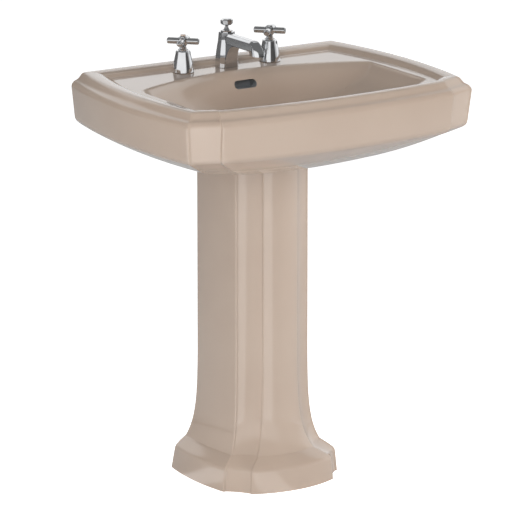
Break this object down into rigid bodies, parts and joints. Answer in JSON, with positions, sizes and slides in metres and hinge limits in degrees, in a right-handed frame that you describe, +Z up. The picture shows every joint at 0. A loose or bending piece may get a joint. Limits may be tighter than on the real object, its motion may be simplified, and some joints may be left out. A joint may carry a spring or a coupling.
{
  "type": "pedestal sink",
  "caption": "Pedestal sink: stepped ceramic basin on a fluted pedestal, with a cross-handle widespread faucet and a pop-up drain worked by a lift rod.",
  "frame": {"origin": "on the floor, under the middle of the basin's outline box", "axes": "+Z up, -Y to the front where the user stands, +Y to the wall, +X to the user's right"},
  "size_m": [0.6934, 0.505, 0.9078],
  "materials": {
    "china": "gloss beige glaze",
    "chrome": "polished",
    "brass": "plain cast and turned",
    "steel": "plain",
    "rubber": "matte black"
  },
  "bodies": {
    "frame": {"basin": "china", "pedestal": "china", "hot_bell": "chrome", "hot_bell_gasket": "rubber", "hot_valve_collar": "brass", "hot_valve_body": "brass", "hot_bonnet_nut": "brass", "hot_mount_washer": "steel", "hot_mount_nut": "brass", "hot_crossover_tube": "brass", "cold_bell": "chrome", "cold_bell_gasket": "rubber", "cold_valve_collar": "brass", "cold_valve_body": "brass", "cold_bonnet_nut": "brass", "cold_mount_washer": "steel", "cold_mount_nut": "brass", "cold_crossover_tube": "brass", "crossover_nuts": "brass", "spout_body": "chrome", "aerator": "chrome", "spout_gasket": "rubber", "spout_shank": "brass", "spout_mount_washer": "steel", "spout_mount_nut": "brass", "pivot_nut": "brass", "drain_flange": "chrome", "drain_body": "brass", "drain_gasket": "rubber", "drain_washer": "steel", "drain_nut": "brass", "tailpiece": "chrome"},
    "hot_turn": {"hot_handle": "chrome", "hot_index_cap": "chrome", "hot_handle_screw": "steel", "hot_valve_stem": "brass"},
    "cold_turn": {"cold_handle": "chrome", "cold_index_cap": "chrome", "cold_handle_screw": "steel", "cold_valve_stem": "brass"},
    "lift": {"lift_rod": "chrome", "lift_knob": "chrome", "clevis_strap": "steel", "clevis_screw": "brass", "spring_clip": "steel"},
    "pivot": {"pivot_rod": "steel"},
    "plug": {"stopper": "chrome", "stopper_seal": "rubber"}
  },
  "joints": [
    {"name": "hot_valve_turn", "type": "hinge", "parent": "frame", "child": "hot_turn", "pos_m": [-0.1016, 0.1793, 0.8735], "axis": [0, 0, 1], "range_deg": [0, 90]},
    {"name": "cold_valve_turn", "type": "hinge", "parent": "frame", "child": "cold_turn", "pos_m": [0.1016, 0.1793, 0.8735], "axis": [0, 0, 1], "range_deg": [-90, 0]},
    {"name": "lift_rod_slide", "type": "slide", "parent": "frame", "child": "lift", "axis": [0, 0, 1], "range_m": [0, 0.032]},
    {"name": "pivot_rock", "type": "hinge", "parent": "frame", "child": "pivot", "pos_m": [0, 0.065, 0.63], "axis": [1, 0, 0], "range_deg": [0, 16.05]},
    {"name": "stopper_slide", "type": "slide", "parent": "frame", "child": "plug", "axis": [0, 0, 1], "range_m": [-0.0071, 0]}
  ],
  "couplings": [
    {"joint": "pivot_rock", "follows": "lift_rod_slide", "rad_per_m": 8.7489},
    {"joint": "stopper_slide", "follows": "lift_rod_slide", "ratio": -0.21872}
  ]
}
